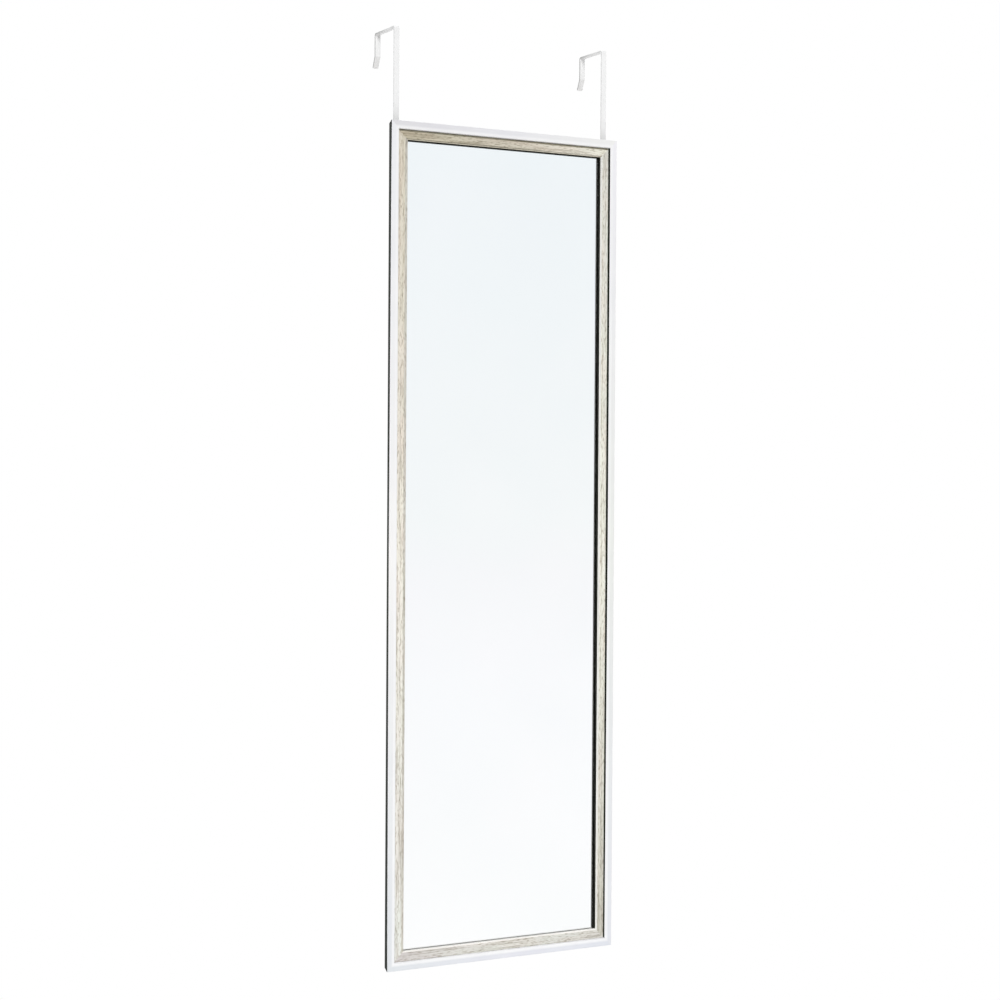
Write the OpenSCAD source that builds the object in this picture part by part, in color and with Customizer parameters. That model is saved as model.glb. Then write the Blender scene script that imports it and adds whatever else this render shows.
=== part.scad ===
// Over the door mirror: a tall framed mirror that hangs on the top edge of a door
// from two bent steel straps.
//
// Millimetres. X runs along the door, +Y into the door, +Z up. The origin lies midway
// between the two hooks, where the door's top edge meets its face: the undersides of
// the hook arms are at z = 0, and the bumpers and screw heads touch the door at y = 0.

/* [Frame] */
// Overall width of the frame
frame_w = 390; // [250:1:600]
// Overall height of the frame
frame_h = 1260; // [600:1:1700]
// Depth of the moulding from its front face to its back
frame_t = 16; // [15.5:0.1:25]
// Width of the solid moulding, from its outer edge to the glass rebate
body_w = 25; // [22:0.1:32]
// Amount by which each outer side leans in from front to back
side_lean = 3.4; // [0:0.1:5]

/* [White moulding face] */
// Radius of the outer front edge
edge_r = 0.8; // [0.4:0.1:2.5]
// Width of the flat white face with its outer edge
face_w = 11.6; // [8:0.1:14]
// Width of the slope from the white face down to the liner
slope_w = 1.2; // [0.5:0.1:4]
// Depth of that slope
slope_d = 2.6; // [1:0.1:2.8]

/* [Wood-grain liner] */
// Depth of the liner's flat face below the white face
liner_set = 3; // [3:0.1:4]
// Thickness of the liner strip
liner_t = 5; // [3:0.1:5.4]
// Width by which the liner's lip stands over the rebate
lip_w = 3; // [2:0.1:5]
// Radius of the bead along the lip
bead_r = 1; // [0.8:0.1:2]
// Width of the fine groove beside the bead
groove_w = 0.6; // [0.3:0.1:1.2]
// Depth of the fine groove beside the bead
groove_d = 0.4; // [0.2:0.1:0.8]
// Play between the liner and the wall of its seat
liner_play = 0.15; // [0.05:0.05:0.4]

/* [Glass and backing] */
// Thickness of the mirror glass
glass_t = 3; // [2:0.1:4]
// Thickness of the backing board
board_t = 3; // [1.5:0.1:3.4]
// Play between the glass and the rebate wall on every side
glass_play = 0.75; // [0.3:0.05:1.5]
// Width of the ground edge bevel on the glass
glass_arris = 0.4; // [0.2:0.1:0.8]

/* [Glazing points] */
// Width of a glazing point
point_w = 12; // [8:0.5:20]
// Thickness of a glazing point
point_t = 0.5; // [0.4:0.1:0.9]
// Length of a glazing point over the board
point_out = 8; // [5:0.5:12]
// Length of a glazing point driven into the moulding
point_in = 5; // [3:0.5:8]
// Largest distance between glazing points
point_pitch = 150; // [100:10:300]
// Clearance of a glazing point in its slit
point_play = 0.05; // [0.02:0.01:0.1]

/* [V-nails] */
// Length of one leg of a V-nail
nail_leg = 4.5; // [3:0.1:6]
// Thickness of the V-nail's steel
nail_t = 0.8; // [0.5:0.1:1.2]
// Depth to which a V-nail is driven
nail_depth = 6.5; // [5:0.1:7.3]
// Distance of the outer V-nail's point from both outer edges
nail_first = 8; // [7:0.1:9]
// Distance between the points of the two V-nails at a corner, along X and Z
nail_step = 8; // [7:0.1:12]
// Clearance of a V-nail in its slot
nail_play = 0.05; // [0.02:0.01:0.1]

/* [Hooks] */
// Width of the steel strap
strap_w = 8.5; // [8:0.1:14]
// Thickness of the steel strap
strap_t = 2; // [1.2:0.1:3]
// Distance of a strap's centre line from the side of the frame
strap_inset = 15; // [13:0.1:18]
// Height from the top of the frame to the underside of the hook arms
hook_rise = 140; // [60:1:250]
// Depth of the gap for the door, from the screw heads to the rear leg
door_gap = 60; // [35:1:80]
// Inner radius of the strap's bends
bend_r = 1.5; // [1:0.1:4]
// Length of the rear leg's straight part below the underside of the arm
rear_leg = 32; // [20:1:60]
// Length of the flared end of the rear leg
flare_l = 18; // [8:1:30]
// Angle by which the flared end turns away from the door
flare_angle = 24; // [10:1:40]
// Radius of the corners of the flared end
tip_r = 2; // [1:0.1:3.5]
// Radius of the corners of the lower end
leg_end_r = 3; // [1:0.1:3.9]
// Clearance between the strap and what it slides on
slide_play = 0.2; // [0.1:0.05:0.4]

/* [Height adjustment] */
// Travel of each hook, up and down from the middle
hook_travel = 20; // [5:1:20]
// Depth of the upper screw below the top of the frame
screw_first = 45; // [42:1:80]
// Distance between the two screws of a hook
screw_pitch = 40; // [20:1:80]
// Length of the strap left below its slot
slot_end = 8; // [5:0.5:20]

/* [Screws and washers] */
// Radius of the screw's shank
screw_r = 1.75; // [1.2:0.05:2]
// Radius of the pan head
head_r = 3.6; // [3:0.1:4.2]
// Height of the pan head
head_h = 2.2; // [1.5:0.1:3]
// Length of thread in the moulding
screw_bite = 6.5; // [4:0.1:7]
// Clearance of the shank in its pilot hole
pilot_play = 0.05; // [0.02:0.01:0.1]
// Width of the cross recess in the head
recess_w = 0.9; // [0.6:0.1:1.2]
// Span of the cross recess
recess_l = 3.8; // [2.5:0.1:4.5]
// Depth of the cross recess
recess_d = 1.2; // [0.6:0.1:1.3]
// Outer radius of the washer
washer_r = 4.4; // [4.3:0.1:6]
// Thickness of the washer
washer_t = 0.8; // [0.5:0.1:1.5]
// Clearance of the shank in the washer and in the slot
washer_play = 0.3; // [0.15:0.05:0.5]

/* [Bumpers] */
// Radius of a bumper
bumper_r = 6.5; // [4:0.1:8]
// Distance of a bumper's rim from the edges of the frame's back
bumper_edge = 2.3; // [0.5:0.1:6]
// Radius of the bumper's rounded rim
bumper_rim = 1.5; // [0.5:0.1:2.5]

/* [Hidden] */

// Facets of the true circles, and of one quarter turn in an outline
$fn = 48;
arc_steps = 8;
// Overlap of a cutter past the face that it opens
past = 1;
// Distance by which a rounding arc starts outside the faces that it meets
arc_out = 0.03;

// Stack behind the frame: strap with its play, washer and screw head
standoff = slide_play + strap_t + slide_play + washer_t + head_h;
frame_back = -standoff;
frame_front = frame_back - frame_t;
frame_top = -hook_rise;
frame_bottom = frame_top - frame_h;
frame_mid = (frame_top + frame_bottom) / 2;

// Profile, as distances from the outer edge and from the front face
seat_u = face_w + slope_w;
liner_u = seat_u + liner_play;
liner_end = body_w + lip_w;
bead_u = liner_end - 2 * bead_r;
seat_d = liner_set + liner_t;
board_d = seat_d + glass_t;
point_d = board_d + board_t;

// Glass and board
glass_u = body_w + glass_play;
glass_w = frame_w - 2 * glass_u;
glass_h = frame_h - 2 * glass_u;

// Straps
strap_x = frame_w / 2 - strap_inset;
strap_front = frame_back + slide_play;
strap_back = strap_front + strap_t;
rear_front = door_gap;
arm_start = strap_back + bend_r;
arm_end = rear_front - bend_r;
flare_y = rear_front + strap_t + bend_r;
slot_r = screw_r + washer_play;
slot_top = frame_top - screw_first + hook_travel;
slot_bottom = frame_top - screw_first - screw_pitch - hook_travel;
strap_bottom = slot_bottom - slot_r - slot_end;
screw_z = [frame_top - screw_first, frame_top - screw_first - screw_pitch];
washer_y = strap_back + slide_play;
head_y = washer_y + washer_t;

// Distance of a bumper's centre from the side and the bottom of the frame
bumper_inset = side_lean + bumper_edge + bumper_r;

// Colours
white_foil = [0.93, 0.94, 0.95];
wood_foil = [0.83, 0.81, 0.75];
powder_white = [0.92, 0.92, 0.93];
mirror_blue = [0.85, 0.91, 0.94];
hardboard = [0.50, 0.36, 0.24];
steel = [0.66, 0.67, 0.69];
soft_grey = [0.80, 0.80, 0.78];

// Points along an arc about (cx, cy), from angle a to angle b
function arc(cx, cy, r, a, b) =
    [for (i = [0:arc_steps]) [cx + r * cos(a + (b - a) * i / arc_steps),
                              cy + r * sin(a + (b - a) * i / arc_steps)]];

// Places of n points spread evenly over a length, with half a pitch at the ends
function spread(len, n) = [for (i = [0:n - 1]) len * ((i + 0.5) / n - 0.5)];

// Number of glazing points along a side of the glass
function point_count(len) = max(2, ceil(len / point_pitch));

// Section of the outer moulding. 2D x is the depth behind the front face, and
// 2D y is minus the distance from the outer edge.
module moulding_section() {
    polygon(concat(
        [[frame_t, -side_lean]],
        arc(edge_r, -edge_r, edge_r, 90, 180),
        [[0, -face_w],
         [slope_d, -seat_u],
         [seat_d, -seat_u],
         [seat_d, -body_w],
         [frame_t, -body_w]]
    ));
}

// Section of the liner strip, in the same 2D axes
module liner_section() {
    polygon(concat(
        [[seat_d, -liner_u],
         [liner_set, -liner_u],
         [liner_set, groove_w - bead_u],
         [liner_set + groove_d, -bead_u + groove_w / 2],
         [liner_set, -bead_u]],
        arc(liner_set + bead_r, -liner_end + bead_r, bead_r, 180, 270),
        [[seat_d, -liner_end]]
    ));
}

// One mitred length of a section, with its outer edge along the X axis at z = 0
module mitred(len) {
    reach = liner_end + past;
    intersection() {
        rotate([90, 0, 90])
            linear_extrude(len, center = true)
                children();
        translate([0, frame_t + past, 0])
            rotate([90, 0, 0])
                linear_extrude(frame_t + 2 * past)
                    polygon([[-len / 2, 0],
                             [len / 2, 0],
                             [len / 2 - reach, -reach],
                             [reach - len / 2, -reach]]);
    }
}

// Carries a side, made with its outer edge up, to its place round the frame
module at_side(side) {
    turn = side == "top" ? 0 : side == "right" ? 90 : side == "bottom" ? 180 : -90;
    out = turn % 180 == 0 ? frame_h / 2 : frame_w / 2;
    translate([0, frame_front, frame_mid])
        rotate([0, turn, 0])
            translate([0, 0, out])
                children();
}

// Length of a side of the frame
function side_length(side) = side == "top" || side == "bottom" ? frame_w : frame_h;

// One V-nail, or its slot when grown, with its point at (0, 0) and its legs
// along +X and -Z
module v_nail(grow) {
    half = nail_t / 2 + grow;
    translate([0, frame_t - nail_depth - grow, 0]) {
        translate([-half, 0, -nail_leg - grow])
            cube([2 * half, nail_depth + grow, nail_leg + half + grow]);
        translate([-half, 0, -half])
            cube([nail_leg + half + grow, nail_depth + grow, 2 * half]);
    }
}

// The V-nails of all four corners in the frame's own place, or their slots
module v_nail_set(grow) {
    translate([0, frame_front, frame_mid])
        for (sx = [0, 1], sz = [0, 1])
            mirror([sx, 0, 0])
                mirror([0, 0, sz])
                    for (i = [0, 1])
                        translate([nail_first + i * nail_step - frame_w / 2, 0,
                                   frame_h / 2 - nail_first - i * nail_step])
                            v_nail(grow);
}

// Glazing points along one side, or their slits when grown
module point_row(side, grow) {
    len = side_length(side) - 2 * glass_u;
    at_side(side)
        for (x = spread(len, point_count(len)))
            translate([x - point_w / 2 - grow, point_d, -body_w - point_out])
                cube([point_w + 2 * grow, point_t + grow, point_out + point_in + grow]);
}

// Pilot holes of both hooks in the back of the moulding
module pilot_holes() {
    for (sx = [-1, 1], z = screw_z)
        translate([sx * strap_x, frame_back + past, z])
            rotate([90, 0, 0])
                cylinder(r = screw_r + pilot_play, h = screw_bite + past + pilot_play);
}

// One side of the outer moulding
module moulding(side) {
    color(white_foil)
        difference() {
            at_side(side)
                mitred(side_length(side))
                    moulding_section();
            v_nail_set(nail_play);
            point_row(side, point_play);
            pilot_holes();
        }
}

// One side of the wood-grain liner
module liner(side) {
    color(wood_foil)
        at_side(side)
            mitred(side_length(side))
                liner_section();
}

// Mirror glass with its ground edges
module mirror_glass() {
    color(mirror_blue)
        translate([0, frame_front + seat_d, frame_mid])
            rotate([90, 0, 0])
                translate([0, 0, -glass_t])
                    intersection() {
                        translate([-glass_w / 2, -glass_h / 2, 0])
                            cube([glass_w, glass_h, glass_t]);
                        glass_edge(glass_w, glass_h);
                        rotate([0, 0, 90])
                            glass_edge(glass_h, glass_w);
                    }
}

// Prism that grinds the two long edges of a sheet of the given size
module glass_edge(w, h) {
    rotate([90, 0, 0])
        linear_extrude(h + 2 * past, center = true)
            polygon([[-w / 2, glass_arris],
                     [glass_arris - w / 2, 0],
                     [w / 2 - glass_arris, 0],
                     [w / 2, glass_arris],
                     [w / 2, glass_t - glass_arris],
                     [w / 2 - glass_arris, glass_t],
                     [glass_arris - w / 2, glass_t],
                     [-w / 2, glass_t - glass_arris]]);
}

// Backing board behind the glass
module backing_board() {
    color(hardboard)
        translate([-glass_w / 2, frame_front + board_d, frame_mid - glass_h / 2])
            cube([glass_w, board_t, glass_h]);
}

// Steel tabs driven into the rebate wall over the backing board
module glazing_points() {
    color(steel)
        for (side = ["top", "right", "bottom", "left"])
            point_row(side, 0);
}

// Steel V-nails across the four mitres
module corner_v_nails() {
    color(steel)
        v_nail_set(0);
}

// Side outline of the strap. 2D x is Y and 2D y is Z. It runs up the front leg, over
// the arm and down the rear leg to the flared end, and back along the inner faces.
module strap_outline() {
    outer_r = bend_r + strap_t;
    polygon(concat(
        [[strap_front, strap_bottom]],
        arc(arm_start, -bend_r, outer_r, 180, 90),
        arc(arm_end, -bend_r, outer_r, 90, 0),
        arc(flare_y, -rear_leg, bend_r, 180, 180 + flare_angle),
        [flare_point(bend_r, flare_l),
         flare_point(outer_r, flare_l)],
        arc(flare_y, -rear_leg, outer_r, 180 + flare_angle, 180),
        arc(arm_end, -bend_r, bend_r, 0, 90),
        arc(arm_start, -bend_r, bend_r, 90, 180),
        [[strap_back, strap_bottom]]
    ));
}

// Point of the flared end at radius r from the centre of its bend, and a length down it
function flare_point(r, down) =
    [flare_y - r * cos(flare_angle) + down * sin(flare_angle),
     -rear_leg - r * sin(flare_angle) - down * cos(flare_angle)];

// What is cut off the two corners of a strap's lower end. The end lies on z = 0 and
// the strap's thickness runs along Y from the origin.
module end_corners(r) {
    side = strap_w / 2;
    for (m = [0, 1])
        mirror([m, 0, 0])
            translate([0, strap_t + past, 0])
                rotate([90, 0, 0])
                    linear_extrude(strap_t + 2 * past)
                        polygon(concat(
                            [[side + past, -past], [side + past, r]],
                            arc(side - r + arc_out, r - arc_out, r, 0, -90),
                            [[side - r + arc_out, -past]]
                        ));
}

// The bent strap on the centre plane, with its slot and its rounded ends
module strap() {
    difference() {
        rotate([90, 0, 90])
            linear_extrude(strap_w, center = true)
                strap_outline();
        // Slot for the two screws
        for (z = [slot_top, slot_bottom])
            translate([0, strap_back + past, z])
                rotate([90, 0, 0])
                    cylinder(r = slot_r, h = strap_t + 2 * past);
        translate([-slot_r, strap_front - past, slot_bottom])
            cube([2 * slot_r, strap_t + 2 * past, slot_top - slot_bottom]);
        // Rounded ends of the front leg and of the flared end
        translate([0, strap_front, strap_bottom])
            end_corners(leg_end_r);
        translate([0, flare_y, -rear_leg])
            rotate([flare_angle, 0, 0])
                translate([0, -strap_t - bend_r, -flare_l])
                    end_corners(tip_r);
    }
}

// A hook at the given side, -1 for left and 1 for right
module hook(sx) {
    color(powder_white)
        translate([sx * strap_x, 0, 0])
            strap();
}

// Two pan-head screws of one hook
module hook_screws(sx) {
    color(steel)
        for (z = screw_z)
            translate([sx * strap_x, 0, z])
                rotate([-90, 0, 0])
                    pan_screw();
}

// A pan-head screw along +Z, with the top of its domed head at z = 0
module pan_screw() {
    crown = head_h / 2;
    dome_r = (head_r * head_r + crown * crown) / (2 * crown);
    difference() {
        union() {
            translate([0, 0, frame_back - screw_bite])
                cylinder(r = screw_r, h = standoff + screw_bite - crown);
            rotate_extrude()
                intersection() {
                    translate([0, -head_h])
                        square([head_r, head_h]);
                    translate([0, -dome_r])
                        circle(r = dome_r);
                }
        }
        for (a = [0, 90])
            rotate([0, 0, a])
                translate([-recess_l / 2, -recess_w / 2, -recess_d])
                    cube([recess_l, recess_w, recess_d + past]);
    }
}

// Two flat washers of one hook
module hook_washers(sx) {
    color(steel)
        for (z = screw_z)
            translate([sx * strap_x, head_y, z])
                rotate([90, 0, 0])
                    difference() {
                        cylinder(r = washer_r, h = washer_t);
                        translate([0, 0, -past])
                            cylinder(r = screw_r + washer_play, h = washer_t + 2 * past);
                    }
}

// A soft self-adhesive bumper at a lower corner of the back
module bumper(sx) {
    color(soft_grey)
        translate([sx * (frame_w / 2 - bumper_inset), frame_back, frame_bottom + bumper_inset])
            rotate([-90, 0, 0])
                rotate_extrude() {
                    square([bumper_r, standoff - bumper_rim]);
                    square([bumper_r - bumper_rim, standoff]);
                    translate([bumper_r - bumper_rim, standoff - bumper_rim])
                        circle(r = bumper_rim);
                }
}

moulding("top");  // moulding_top
moulding("bottom");  // moulding_bottom
moulding("left");  // moulding_left
moulding("right");  // moulding_right
liner("top");  // liner_top
liner("bottom");  // liner_bottom
liner("left");  // liner_left
liner("right");  // liner_right
mirror_glass();
backing_board();
glazing_points();
corner_v_nails();
hook(-1);  // hook_left
hook(1);  // hook_right
hook_screws(-1);  // hook_screws_left
hook_screws(1);  // hook_screws_right
hook_washers(-1);  // hook_washers_left
hook_washers(1);  // hook_washers_right
bumper(-1);  // bumper_left
bumper(1);  // bumper_right
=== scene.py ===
# A tall framed mirror that hangs over the top edge of a door from two steel hooks.
# Metres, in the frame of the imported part: X along the door, +Y into it, +Z up, and the
# origin where the door's top edge meets its face, midway between the hooks.
from math import cos, radians, sin
import bmesh
import bpy
from mathutils import Matrix, Vector


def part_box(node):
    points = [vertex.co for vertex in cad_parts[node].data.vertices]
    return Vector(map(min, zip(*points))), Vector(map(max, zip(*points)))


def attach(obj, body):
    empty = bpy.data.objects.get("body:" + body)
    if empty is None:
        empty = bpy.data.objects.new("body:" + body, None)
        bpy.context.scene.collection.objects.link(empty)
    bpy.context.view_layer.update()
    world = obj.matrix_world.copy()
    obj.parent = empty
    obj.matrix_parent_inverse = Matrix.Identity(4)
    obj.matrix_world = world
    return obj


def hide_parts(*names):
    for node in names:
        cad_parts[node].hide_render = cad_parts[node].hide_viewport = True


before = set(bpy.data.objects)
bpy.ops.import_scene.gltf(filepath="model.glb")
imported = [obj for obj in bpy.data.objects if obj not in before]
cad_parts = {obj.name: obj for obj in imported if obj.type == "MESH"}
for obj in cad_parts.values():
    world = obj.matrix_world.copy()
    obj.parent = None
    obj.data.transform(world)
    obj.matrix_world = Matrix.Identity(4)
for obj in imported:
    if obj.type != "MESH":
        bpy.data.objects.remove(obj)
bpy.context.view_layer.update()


# ---- Camera
# The photograph's camera stands in front of the mirror and to its left, a little above its
# middle. It was fitted to the corners of the frame's front, on a picture 1000 pixels wide.
picture_pixels = 1000
focal_pixels = 2084.8
camera_place = Vector((-1.5360, -2.7948, -0.6548))
camera_yaw = radians(28.83)
camera_pitch = radians(-0.83)
camera_roll = radians(0.36)

level_right = Vector((cos(camera_yaw), -sin(camera_yaw), 0))
level_ahead = Vector((sin(camera_yaw), cos(camera_yaw), 0))
ahead = cos(camera_pitch) * level_ahead + sin(camera_pitch) * Vector((0, 0, 1))
above = level_right.cross(ahead)
right = cos(camera_roll) * level_right + sin(camera_roll) * above
up = cos(camera_roll) * above - sin(camera_roll) * level_right
camera_turn = Matrix((right, up, -ahead)).transposed().to_4x4()

camera = bpy.data.objects.new("camera", bpy.data.cameras.new("camera"))
camera.data.sensor_width = 36
camera.data.lens = camera.data.sensor_width * focal_pixels / picture_pixels
camera.matrix_world = Matrix.Translation(camera_place) @ camera_turn
bpy.context.scene.collection.objects.link(camera)
bpy.context.scene.camera = camera
bpy.context.scene.view_settings.view_transform = "Standard"


# ---- White mouldings
# Four lengths of a stepped profile, milled from charcoal-dyed fibreboard and sawn at 45
# degrees. White foil is wrapped over the front, a little way round the outer side and down
# the inner step. On the top and right lengths it stops short on the step, and the bare dark
# core there is painted shade. The back is bare.
MM = 0.001
moulding_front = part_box("moulding_top")[0].y
foil_wrap = 0.8 * MM      # how far behind the front the foil ends on the outer side
whole_step = 2.9 * MM     # and on the inner step, where it isn't cut short
outer_zone = 6 * MM       # nearer the outline than this, a point is on the outer side
border_waver = 0.1 * MM
highlight_start = 6 * MM     # from here to the value below, inside the outline, the face is painted
highlight_end = 9 * MM       # lighter as a highlight, by the share below of the way to white
highlight_share = 0.75
foil_round = 0.12 * MM
foil_gloss = 0.25
foil_roughness = 0.3
core_roughness = 0.9
pure_white = (1, 1, 1, 1)

same_point = 0.0005 * MM       # nearer than this, corners of the CAD's triangles are one
near_point = 0.002 * MM        # and corners that rounding leaves are merged
flat_angle = radians(0.2)      # triangles that meet under this angle are one flat face
sharp_angle = radians(32)      # an edge over this angle is rounded
smooth_angle = radians(34)     # faces under this angle are shaded as one


def add_node(tree, kind, inputs=(), **settings):
    """A new shader node: its settings, and its inputs as values or other nodes' outputs."""
    made = tree.nodes.new("ShaderNode" + kind)
    for name, value in settings.items():
        setattr(made, name, value)
    for key, value in dict(inputs).items():
        set_input(tree, made.inputs[key], value)
    return made


def set_input(tree, socket, value):
    """Gives an input a value, or links it to another node's output."""
    if isinstance(value, bpy.types.NodeSocket):
        tree.links.new(value, socket)
    else:
        socket.default_value = value


def new_material(name):
    """A material, its node tree, its main shader and the place of each point on the object."""
    material = bpy.data.materials.new(name)
    material.use_nodes = True
    tree = material.node_tree
    shader = tree.nodes["Principled BSDF"]
    place = tree.nodes.new("ShaderNodeTexCoord").outputs["Object"]
    return material, tree, shader, place


def noise(tree, place, scale, detail, stretch=(1, 1, 1)):
    """Noise from 0 to 1 with so many features to the metre, drawn out where stretch is under 1."""
    mapped = add_node(tree, "Mapping", {"Vector": place, "Scale": stretch}).outputs["Vector"]
    made = add_node(tree, "TexNoise", {"Vector": mapped, "Scale": scale, "Detail": detail})
    return made.outputs["Fac"]


def linear(shade):
    """sRGB from 0 to 255 as the linear colour that a shader takes."""
    return [((c / 255 + 0.055) / 1.055) ** 2.4 for c in shade] + [1]


def ramp(tree, value, *stops):
    """Colour along a value: each stop is (position, sRGB colour from 0 to 255)."""
    made = add_node(tree, "ValToRGB", {"Fac": value})
    ends = made.color_ramp.elements
    while len(ends) < len(stops):
        ends.new(0.5)
    for end, (position, shade) in zip(ends, stops):
        end.position = position
        end.color = linear(shade)
    return made.outputs["Color"]


def mixed(tree, factor, first, second, kind="RGBA", blend="MIX"):
    """first where the factor is 0, and second, or its blend with first, where it is 1."""
    made = add_node(tree, "Mix", {"Factor": factor}, data_type=kind, blend_type=blend)
    ends = [socket for socket in made.inputs if socket.name in "AB" and socket.enabled]
    for end, value in zip(ends, (first, second)):
        set_input(tree, end, value)
    return next(socket for socket in made.outputs if socket.enabled)


def multiplied(tree, first, second):
    """One colour times another."""
    return mixed(tree, 1.0, first, second, blend="MULTIPLY")


def maths(tree, operation, *values):
    """The outcome of a sum on values or outputs."""
    return add_node(tree, "Math", dict(enumerate(values)), operation=operation).outputs["Value"]


def rise(tree, value, start, end, low=0.0, high=1.0):
    """Goes from low to high while the value goes from start to end."""
    ends = {"Value": value, "From Min": start, "From Max": end, "To Min": low, "To Max": high}
    return add_node(tree, "MapRange", ends).outputs["Result"]


def axes_of(tree, place):
    """The X, Y and Z of a place."""
    return add_node(tree, "SeparateXYZ", {"Vector": place}).outputs


def bump(tree, shader, height, depth):
    """Raises the surface by a height from 0 to 1, times a depth in metres."""
    made = add_node(tree, "Bump", {"Height": height, "Distance": depth, "Strength": 1.0})
    tree.links.new(made.outputs["Normal"], shader.inputs["Normal"])


def split_depth(tree, place, border):
    """1 in front of a border plane and 0 behind it, with a border that wavers a little."""
    waver = noise(tree, place, scale=300, detail=1.0)
    shifted = maths(tree, "MULTIPLY_ADD", waver, border_waver, axes_of(tree, place)["Y"])
    return maths(tree, "LESS_THAN", shifted, border)


def inset(tree, place):
    """How far a point lies inside the outline of the frame, in metres."""
    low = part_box("moulding_left")[0]
    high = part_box("moulding_right")[1]
    axes = axes_of(tree, place)
    from_edge = []
    for axis, start, end in (("X", low.x, high.x), ("Z", low.z, high.z)):
        off_middle = maths(tree, "SUBTRACT", axes[axis], (start + end) / 2)
        off_middle = maths(tree, "ABSOLUTE", off_middle)
        from_edge.append(maths(tree, "SUBTRACT", (end - start) / 2, off_middle))
    return maths(tree, "MINIMUM", *from_edge)


def within_outline(tree, place, margin):
    """1 where a point lies further than a margin inside the frame's outline, and else 0."""
    return maths(tree, "GREATER_THAN", inset(tree, place), margin)


def share_along(tree, place, node):
    """Goes from 0 at the low end of a long node to 1 at its high end."""
    low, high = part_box(node)
    axis = 0 if high.x - low.x > high.z - low.z else 2
    return rise(tree, axes_of(tree, place)[axis], low[axis], high[axis])


def tone_and_light_along(tree, place, node, tones):
    """Colour that drifts along a node, by the tones of its low end, middle and high end. On the
    white and wood-grain foils these tones paint light and shade as well as their own tone.
    """
    return ramp(tree, share_along(tree, place, node), *zip((0.0, 0.5, 1.0), tones))


def depth_along(tree, place, node, front, depths):
    """A border plane that drifts along a node, by the depths behind a front of its low end,
    middle and high end."""
    share = share_along(tree, place, node)
    first, middle, last = (front + depth for depth in depths)
    to_middle = rise(tree, share, 0.0, 0.5, first, middle)
    return maths(tree, "ADD", to_middle, rise(tree, share, 0.5, 1.0, 0.0, last - middle))


def white_foil(node, tones, rim_wraps=(foil_wrap,) * 3, step_wraps=(whole_step,) * 3):
    """White foil over the charcoal core. Its tones drift along the length and differ between
    lengths. They set how bright each part shows, so they paint light and shade as well as the
    foil's own slight drift in tone. How far it reaches round the outer side, rim_wraps, and down
    the inner step, step_wraps, drifts along the length too. Where the foil stops short on the
    step, the bare dark core is painted shade."""
    material, tree, shader, place = new_material("white_foil_" + node)
    rim = split_depth(tree, place, depth_along(tree, place, node, moulding_front, rim_wraps))
    step = split_depth(tree, place, depth_along(tree, place, node, moulding_front, step_wraps))
    foil = mixed(tree, within_outline(tree, place, outer_zone), rim, step, "FLOAT")
    peel = noise(tree, place, scale=900, detail=3.0)
    cloud = noise(tree, place, scale=18, detail=2.0)
    clouds = ramp(tree, cloud, (0.3, (251, 251, 252)), (0.7, (255, 255, 255)))
    # Painted highlight: the face is painted lighter toward its inner edge.
    painted_highlight = rise(tree, inset(tree, place), highlight_start, highlight_end, high=highlight_share)
    white = mixed(tree, painted_highlight, tone_and_light_along(tree, place, node, tones), pure_white)
    white = multiplied(tree, white, clouds)
    fibre = noise(tree, place, scale=1400, detail=6.0, stretch=(1, 0.35, 1))
    core = ramp(tree, fibre, (0.25, (14, 17, 13)), (0.5, (25, 28, 23)), (0.75, (42, 46, 38)))
    roughness = mixed(tree, foil, core_roughness, foil_roughness, "FLOAT")
    tree.links.new(mixed(tree, foil, core, white), shader.inputs["Base Color"])
    tree.links.new(roughness, shader.inputs["Roughness"])
    shader.inputs["Specular IOR Level"].default_value = foil_gloss
    bump(tree, shader, mixed(tree, foil, fibre, peel, "FLOAT"), depth=0.02 * MM)
    return material


def closed_copy(node):
    """A bmesh of a CAD node's triangles, merged and with its flat faces whole again."""
    mesh = bmesh.new()
    mesh.from_mesh(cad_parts[node].data)
    bmesh.ops.remove_doubles(mesh, verts=mesh.verts, dist=same_point)
    bmesh.ops.dissolve_limit(mesh, angle_limit=flat_angle, verts=mesh.verts, edges=mesh.edges)
    return mesh


def soften(mesh, width, rows=2, chosen=lambda edge: True):
    """Rounds the sharp edges that are chosen."""
    pairs = [edge for edge in mesh.edges if len(edge.link_faces) == 2]
    sharp = [edge for edge in pairs if edge.calc_face_angle() > sharp_angle and chosen(edge)]
    bmesh.ops.bevel(mesh, geom=sharp, offset=width, offset_type="OFFSET", segments=rows,
                    profile=0.5, affect="EDGES", material=-1, clamp_overlap=True)


def corner_normals(mesh):
    """A normal for each corner of each face: round over small bevels, true on flats beside."""
    mesh.normal_update()
    area = {face: face.calc_area() for face in mesh.faces}
    normals = []
    for face in mesh.faces:
        for corner in face.loops:
            around = corner.vert.link_faces
            near = [f for f in around if f.normal.dot(face.normal) > cos(smooth_angle)]
            normals.append(sum((f.normal * area[f] for f in near), Vector()).normalized())
    return normals


def add_object(mesh, name, material):
    """The mesh as an object of its own at the origin, with one material."""
    data = bpy.data.meshes.new(name)
    mesh.to_mesh(data)
    mesh.free()
    data.materials.append(material)
    made = bpy.data.objects.new(name, data)
    bpy.context.scene.collection.objects.link(made)
    return made


def finish_piece(mesh, name, node, body, material):
    """The mesh as a piece of its own that stands for a CAD node and rides on its body."""
    bmesh.ops.remove_doubles(mesh, verts=mesh.verts, dist=near_point)
    bmesh.ops.triangulate(mesh, faces=mesh.faces, quad_method="BEAUTY", ngon_method="BEAUTY")
    normals = corner_normals(mesh)
    piece = add_object(mesh, name, material)
    piece.data.shade_smooth()
    piece.data.normals_split_custom_set(normals)
    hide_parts(node)
    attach(piece, body)


def under_foil(edge):
    """Whether an edge lies so near the front that foil covers it."""
    return max(corner.co.y for corner in edge.verts) < moulding_front + foil_wrap


# The tones of each length paint light and shade as well as the foil's slight drift in tone.
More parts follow.
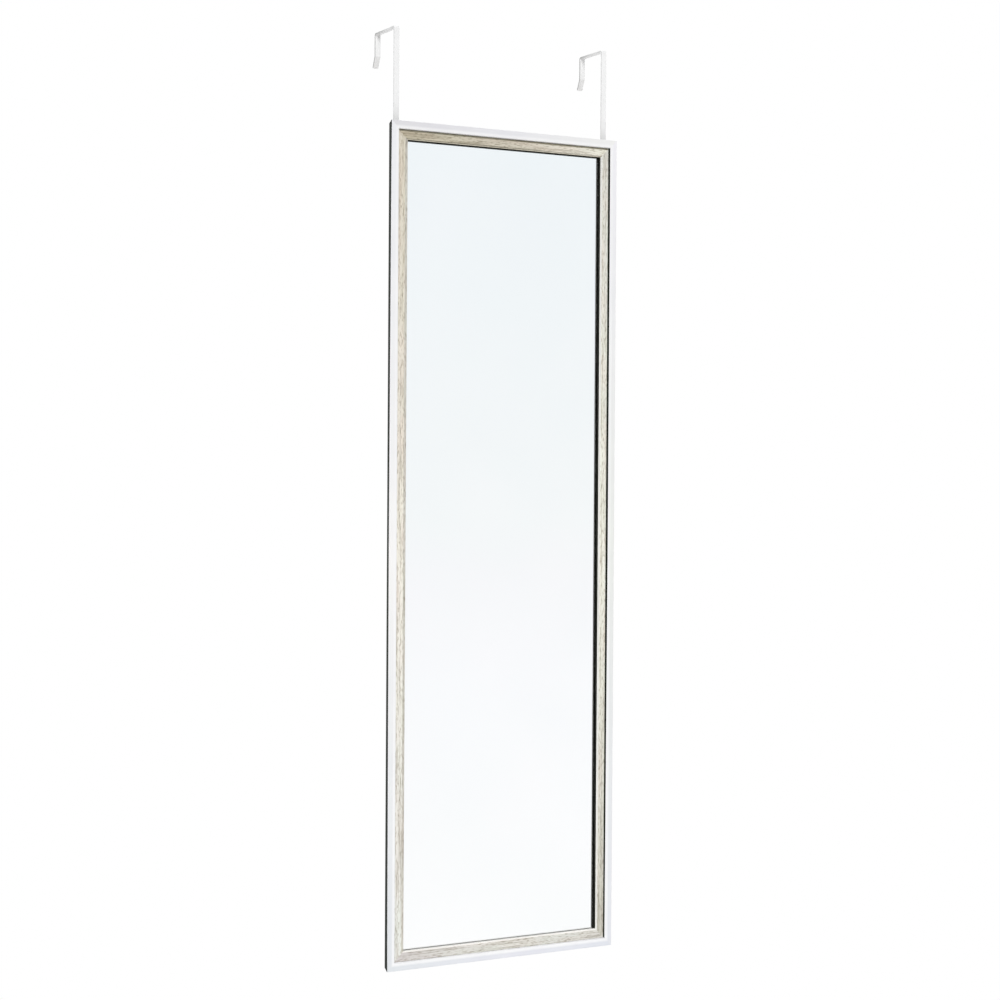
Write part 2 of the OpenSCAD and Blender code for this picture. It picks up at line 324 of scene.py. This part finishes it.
foils = {
    "top": {"tones": ((230, 229, 232), (240, 240, 243), (248, 248, 246)),
            "step_wraps": (1.9 * MM, 2.2 * MM, 2.2 * MM)},
    "bottom": {"tones": ((228, 232, 235), (232, 233, 239), (229, 232, 238))},
    "left": {"tones": ((229, 232, 235), (253, 252, 251), (244, 245, 248)),
             "rim_wraps": (0.3 * MM, 4.5 * MM, 0.3 * MM)},
    "right": {"tones": ((232, 234, 239), (240, 242, 238), (248, 247, 251)),
              "step_wraps": (1.1 * MM, 0.13 * MM, 0.35 * MM)},
}
# On the top and right lengths the short step wraps leave dark core on the step as painted shade.
for side, foil_facts in foils.items():
    node = "moulding_" + side
    mesh = closed_copy(node)
    soften(mesh, foil_round, chosen=under_foil)
    foil = white_foil(node, **foil_facts)
    finish_piece(mesh, node + "_wrapped", node, "mirror", foil)


# ---- Wood-grain liners
# Four slips of fibreboard in the seat of the mouldings, with a rounded bead along the lip.
# Their foil is printed as pale greyed oak. On the top, right and left slips it ends at the
# bead, and the bare dark wall of the lip is painted shade. On the bottom slip, whose lip
# faces the light, it is wrapped on down to the glass. The beads' colours are a painted
# highlight on the right and bottom slips and painted shade on the left and top. The top slip
# has a painted shadow in brown along its outer margin.
liner_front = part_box("liner_top")[0].y
seat_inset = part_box("moulding_top")[1].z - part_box("liner_top")[1].z
liner_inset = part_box("moulding_top")[1].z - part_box("liner_top")[0].z
# The brown of a painted shadow that the top step casts along the top slip's outer margin.
brown = (154, 150, 132)
painted_shadow_fade = 0.5 * MM
print_roughness = 0.32
slip_round = 0.1 * MM


def wood_grain(node, tones, bead, bead_width, bead_grain, wrap, painted_shade_margin=0, painted_shadow_width=0):
    """Wood-grain foil whose tones drift along a slip and paint light and shade as well as the
    print's own drift, wrapped so far behind its front. Where it stops short, the bare dark core
    is painted shade. The bead has a colour and a strength of grain of its own. Its colour is a
    painted highlight on some slips and painted shade on others. Along the slip's outer margin
    the foil may leave a width bare as painted shade, and may carry a painted shadow in brown
    over another width."""
    material, tree, shader, place = new_material("wood_grain_" + node)
    level = node in ("liner_top", "liner_bottom")

    def grained(scale, detail, squeeze):
        """Noise drawn out along the slip."""
        stretch = (squeeze, 1, 1) if level else (1, 1, squeeze)
        return noise(tree, place, scale, detail, stretch)

    streaks = grained(scale=520, detail=3.0, squeeze=0.03)
    flecks = grained(scale=1050, detail=4.0, squeeze=0.12)
    drift = grained(scale=90, detail=2.0, squeeze=0.15)
    broad = ramp(tree, streaks,
                 (0.36, (220, 217, 213)), (0.46, (249, 248, 247)), (0.56, (255, 255, 255)))
    pores = ramp(tree, flecks,
                 (0.36, (199, 194, 186)), (0.45, (249, 248, 246)), (0.52, (255, 255, 255)))
    hues = ramp(tree, drift,
                (0.4, (255, 251, 248)), (0.5, (255, 254, 252)), (0.6, (254, 254, 250)))
    grain = multiplied(tree, multiplied(tree, broad, pores), hues)

    # The bead's colour is painted light: a painted highlight on the right and bottom slips,
    # painted shade on the left and top.
    at_bead = within_outline(tree, place, liner_inset - bead_width)
    tone = mixed(tree, at_bead, tone_and_light_along(tree, place, node, tones), linear(bead))
    grain = mixed(tree, maths(tree, "MULTIPLY", at_bead, 1 - bead_grain), grain, pure_white)
    foil = split_depth(tree, place, liner_front + wrap)
    # Painted shadow: the slip's outer margin is painted brown where the step above shades it.
    if painted_shadow_width:
        painted_shadow_end = seat_inset + painted_shadow_width
        painted_shadow_out = painted_shadow_end + painted_shadow_fade
        painted_shadow_mask = rise(tree, inset(tree, place), painted_shadow_end, painted_shadow_out, low=1, high=0)
        tone = mixed(tree, painted_shadow_mask, tone, linear(brown))
    # Painted shade: a bare dark margin along the slip's outer edge widens the shaded line by the
    # step.
    if painted_shade_margin:
        covered = within_outline(tree, place, seat_inset + painted_shade_margin)
        foil = maths(tree, "MULTIPLY", foil, covered)

    fibre = noise(tree, place, scale=1400, detail=5.0)
    core = ramp(tree, fibre, (0.3, (34, 35, 31)), (0.7, (56, 57, 50)))
    printed = multiplied(tree, tone, grain)
    roughness = mixed(tree, foil, core_roughness, print_roughness, "FLOAT")
    tree.links.new(mixed(tree, foil, core, printed), shader.inputs["Base Color"])
    tree.links.new(roughness, shader.inputs["Roughness"])
    shader.inputs["Specular IOR Level"].default_value = foil_gloss
    bump(tree, shader, flecks, depth=0.03 * MM)
    return material


# The tones and bead colours below paint light and shade as well as the print. The bead is a
# painted highlight on the right and bottom slips and painted shade on the left and top. The top
# slip's brown margin is a painted shadow, and the right slip's bare margin is painted shade.
prints = {
    "top": {"tones": ((207, 200, 179), (214, 208, 194), (248, 246, 236)),
            "bead": (212, 205, 187), "bead_width": 1.6 * MM, "bead_grain": 0.2,
            "wrap": 0.1 * MM, "painted_shadow_width": 2.1 * MM},
    "bottom": {"tones": ((216, 211, 212), (231, 232, 227), (221, 222, 218)),
               "bead": (255, 253, 248), "bead_width": 2.2 * MM, "bead_grain": 0.2,
               "wrap": 9 * MM},
    "left": {"tones": ((239, 242, 239), (251, 247, 239), (227, 221, 206)),
             "bead": (215, 213, 206), "bead_width": 4.2 * MM, "bead_grain": 1.0,
             "wrap": 1.2 * MM},
    "right": {"tones": ((209, 207, 199), (253, 254, 245), (233, 233, 227)),
              "bead": (253, 252, 248), "bead_width": 3.4 * MM, "bead_grain": 0.2,
              "wrap": 0.3 * MM, "painted_shade_margin": 0.8 * MM},
}
for side, print_facts in prints.items():
    node = "liner_" + side
    mesh = closed_copy(node)
    soften(mesh, slip_round)
    foil = wood_grain(node, **print_facts)
    finish_piece(mesh, node + "_printed", node, "mirror", foil)


# ---- Mirror glass
# A sheet of 3 mm float glass with ground edges, silvered and lacquered on its back. The
# silver is a thin sheet of its own here, just inside the back of the glass, so that what
# the mirror shows lies behind the thickness of the glass.
silver_t = 0.04 * MM
silver_inset = 0.45 * MM


def clear_glass():
    """Float glass with no more than a breath of colour."""
    material, tree, shader, place = new_material("clear_glass")
    cloud = noise(tree, place, scale=4, detail=1.0)
    tint = ramp(tree, cloud, (0.3, (253, 254, 254)), (0.7, (254, 255, 255)))
    tree.links.new(tint, shader.inputs["Base Color"])
    shader.inputs["Roughness"].default_value = 0.0
    shader.inputs["IOR"].default_value = 1.52
    shader.inputs["Transmission Weight"].default_value = 1.0
    return material


def silver():
    """The bright silver of the mirror, as seen through the glass."""
    material, tree, shader, place = new_material("silver")
    cloud = noise(tree, place, scale=6, detail=1.0)
    shade = ramp(tree, cloud, (0.3, (253, 254, 254)), (0.7, (255, 255, 255)))
    tree.links.new(shade, shader.inputs["Base Color"])
    shader.inputs["Metallic"].default_value = 1.0
    shader.inputs["Roughness"].default_value = 0.0
    return material


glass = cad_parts["mirror_glass"]
glass.data.materials.clear()
glass.data.materials.append(clear_glass())

glass_low, glass_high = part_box("mirror_glass")
glass_size = glass_high - glass_low
silver_size = (glass_size.x - 2 * silver_inset, silver_t, glass_size.z - 2 * silver_inset)
silver_place = (glass_low + glass_high) / 2
silver_place.y = glass_high.y - silver_t
mesh = bmesh.new()
bmesh.ops.create_cube(mesh, size=1)
bmesh.ops.scale(mesh, vec=silver_size, verts=mesh.verts)
bmesh.ops.translate(mesh, vec=silver_place, verts=mesh.verts)
silver_coat = add_object(mesh, "silver_coat", silver())
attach(silver_coat, "mirror")


# ---- Backing board
# A sheet of 3 mm hardboard behind the glass, with its smooth side out. It is pressed
# from wood fibre, which shows as fine flecks and darker clouds.
board_round = 0.2 * MM


def hardboard():
    """Smooth brown hardboard."""
    material, tree, shader, place = new_material("hardboard")
    cloud = noise(tree, place, scale=9, detail=4.0)
    fibre = noise(tree, place, scale=700, detail=8.0)
    base = ramp(tree, cloud, (0.3, (146, 112, 82)), (0.7, (164, 128, 94)))
    flecks = ramp(tree, fibre,
                  (0.32, (196, 186, 176)), (0.5, (245, 243, 240)), (0.68, (255, 255, 255)))
    tree.links.new(multiplied(tree, base, flecks), shader.inputs["Base Color"])
    shader.inputs["Roughness"].default_value = 0.55
    bump(tree, shader, fibre, depth=0.05 * MM)
    return material


mesh = closed_copy("backing_board")
soften(mesh, board_round)
finish_piece(mesh, "backing_board_pressed", "backing_board", "mirror", hardboard())


# ---- Steel fixings
# Glazing points driven over the board, V-nails across the mitres, and the pan-head screws
# and washers of the hooks, all zinc plated.
fixing_rounds = {
    "glazing_points": 0.08 * MM,
    "corner_v_nails": 0.1 * MM,
    "hook_screws_left": 0.08 * MM,
    "hook_screws_right": 0.08 * MM,
    "hook_washers_left": 0.12 * MM,
    "hook_washers_right": 0.12 * MM,
}


def zinc_plate():
    """Bright zinc plate with a fine spangle."""
    material, tree, shader, place = new_material("zinc_plate")
    spangle = noise(tree, place, scale=500, detail=3.0)
    shade = ramp(tree, spangle, (0.3, (178, 182, 188)), (0.7, (208, 210, 212)))
    tree.links.new(shade, shader.inputs["Base Color"])
    shader.inputs["Metallic"].default_value = 1.0
    tree.links.new(rise(tree, spangle, 0, 1, low=0.24, high=0.4), shader.inputs["Roughness"])
    bump(tree, shader, spangle, depth=0.01 * MM)
    return material


zinc_material = zinc_plate()
for node, fixing_round in fixing_rounds.items():
    mesh = closed_copy(node)
    soften(mesh, fixing_round)
    finish_piece(mesh, node + "_plated", node, "mirror", zinc_material)


# ---- Hooks
# Two straps of 8.5 x 2 mm steel, slotted, bent over the door and flared at the far end, and
# powder coated white. The coat is finely pebbled. Its narrow sides are painted grey as
# shade, most of all toward the far end.
coat_round = 0.45 * MM
# The painted shade on the narrow sides grows from the first depth below to the second.
side_shade_start = 20 * MM      # behind the door's front face
side_shade_end = 60 * MM
side_shade_at_front = 0.38      # of what it is at the far end


def powder_coat():
    """White powder coat, with painted shade in grey on its narrow sides."""
    material, tree, shader, place = new_material("powder_coat")
    pebble = noise(tree, place, scale=1100, detail=2.0)
    cloud = noise(tree, place, scale=30, detail=2.0)
    face = ramp(tree, cloud, (0.3, (247, 247, 247)), (0.7, (252, 252, 252)))
    # The grey of the painted shade on the narrow sides.
    edge = ramp(tree, cloud, (0.3, (164, 164, 163)), (0.7, (176, 176, 175)))
    low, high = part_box("hook_right")
    middle = (low.x + high.x) / 2
    half_width = (high.x - low.x) / 2
    axes = axes_of(tree, place)
    off_middle = maths(tree, "SUBTRACT", maths(tree, "ABSOLUTE", axes["X"]), middle)
    off_middle = maths(tree, "ABSOLUTE", off_middle)
    side = rise(tree, off_middle, half_width - coat_round, half_width)
    side_shade_strength = rise(tree, axes["Y"], side_shade_start, side_shade_end, side_shade_at_front, 1)
    painted_side_shade = maths(tree, "MULTIPLY", side, side_shade_strength)
    tree.links.new(mixed(tree, painted_side_shade, face, edge), shader.inputs["Base Color"])
    tree.links.new(rise(tree, pebble, 0, 1, low=0.28, high=0.4), shader.inputs["Roughness"])
    bump(tree, shader, pebble, depth=0.04 * MM)
    return material


coat_material = powder_coat()
for node in ("hook_left", "hook_right"):
    mesh = closed_copy(node)
    soften(mesh, coat_round, rows=3)
    finish_piece(mesh, node + "_coated", node, node, coat_material)


# ---- Bumpers
# Two soft self-adhesive bumpers at the lower corners of the back, cast in clear grey
# polyurethane, which hold the frame parallel to the door.
def bumper_rubber():
    """Soft grey polyurethane that lets a little light in."""
    material, tree, shader, place = new_material("bumper_rubber")
    cloud = noise(tree, place, scale=200, detail=2.0)
    shade = ramp(tree, cloud, (0.3, (196, 197, 192)), (0.7, (210, 211, 207)))
    tree.links.new(shade, shader.inputs["Base Color"])
    shader.inputs["Roughness"].default_value = 0.35
    shader.inputs["Subsurface Weight"].default_value = 0.3
    shader.inputs["Subsurface Scale"].default_value = 2 * MM
    bump(tree, shader, noise(tree, place, scale=2500, detail=2.0), depth=0.01 * MM)
    return material


rubber_material = bumper_rubber()
for node in ("bumper_left", "bumper_right"):
    mesh = closed_copy(node)
    finish_piece(mesh, node + "_cast", node, "mirror", rubber_material)


# ---- Floor, world and lamps
# A plain pale floor at the foot of a door 2.03 m high, a distant soft lamp from the upper
# left in front, and a weaker one from behind. The world is white to the eye, and a little
# greyer toward the top in what metal and glass show.
floor_z = -2.03
floor_radius = 2.15
floor_tone = (0.9, 0.9, 0.9, 1)
floor_glow = 0.175
ambient = (0.5, 0.5, 0.5, 1)
horizon_span = 0.25


def ray_is(tree, first, *others):
    """1 for a ray of one of these kinds, and 0 for the rest."""
    path = tree.nodes.new("ShaderNodeLightPath").outputs
    found = path[first]
    for kind in others:
        found = maths(tree, "MAXIMUM", found, path[kind])
    return found


def floor_paint():
    """Matt pale paint that glows a little for the eye and the mirror, so that it looks white."""
    material, tree, shader, place = new_material("floor_paint")
    shader.inputs["Base Color"].default_value = floor_tone
    shader.inputs["Roughness"].default_value = 0.9
    shader.inputs["Specular IOR Level"].default_value = 0.0
    shader.inputs["Emission Color"].default_value = pure_white
    seen = ray_is(tree, "Is Camera Ray", "Is Glossy Ray", "Is Transmission Ray")
    glow = maths(tree, "MULTIPLY", seen, floor_glow)
    tree.links.new(glow, shader.inputs["Emission Strength"])
    return material


mesh = bmesh.new()
bmesh.ops.create_circle(mesh, cap_ends=True, segments=96, radius=floor_radius)
bmesh.ops.translate(mesh, vec=(0, 0, floor_z), verts=mesh.verts)
floor = add_object(mesh, "floor", floor_paint())

world = bpy.data.worlds.new("studio")
world.use_nodes = True
bpy.context.scene.world = world
tree = world.node_tree
direction = tree.nodes.new("ShaderNodeTexCoord").outputs["Generated"]
height = rise(tree, axes_of(tree, direction)["Z"], -horizon_span, horizon_span)
shown = ramp(tree, height, (0.0, (255, 255, 255)), (0.3, (252, 252, 254)),
             (0.4, (249, 249, 251)), (0.45, (247, 249, 250)), (0.8, (242, 246, 249)))
shine = ray_is(tree, "Is Glossy Ray", "Is Transmission Ray")
colour = mixed(tree, shine, ambient, shown)
colour = mixed(tree, ray_is(tree, "Is Camera Ray"), colour, pure_white)
tree.links.new(colour, tree.nodes["Background"].inputs["Color"])


def soft_lamp(name, azimuth, elevation, spread, strength):
    """A distant lamp with a soft edge, at angles in degrees. Azimuth 0 is in front of the
    mirror and 90 to its right."""
    azimuth, elevation = radians(azimuth), radians(elevation)
    back = Vector((sin(azimuth) * cos(elevation), -cos(azimuth) * cos(elevation), sin(elevation)))
    lamp = bpy.data.objects.new(name, bpy.data.lights.new(name, "SUN"))
    lamp.data.angle = radians(spread)
    lamp.data.energy = strength
    lamp.rotation_mode = "QUATERNION"
    lamp.rotation_quaternion = back.to_track_quat("Z", "Y")
    lamp.visible_transmission = False
    bpy.context.scene.collection.objects.link(lamp)


soft_lamp("key_lamp", azimuth=-30, elevation=30, spread=34, strength=1.65)
soft_lamp("back_lamp", azimuth=205, elevation=35, spread=20, strength=1.2)
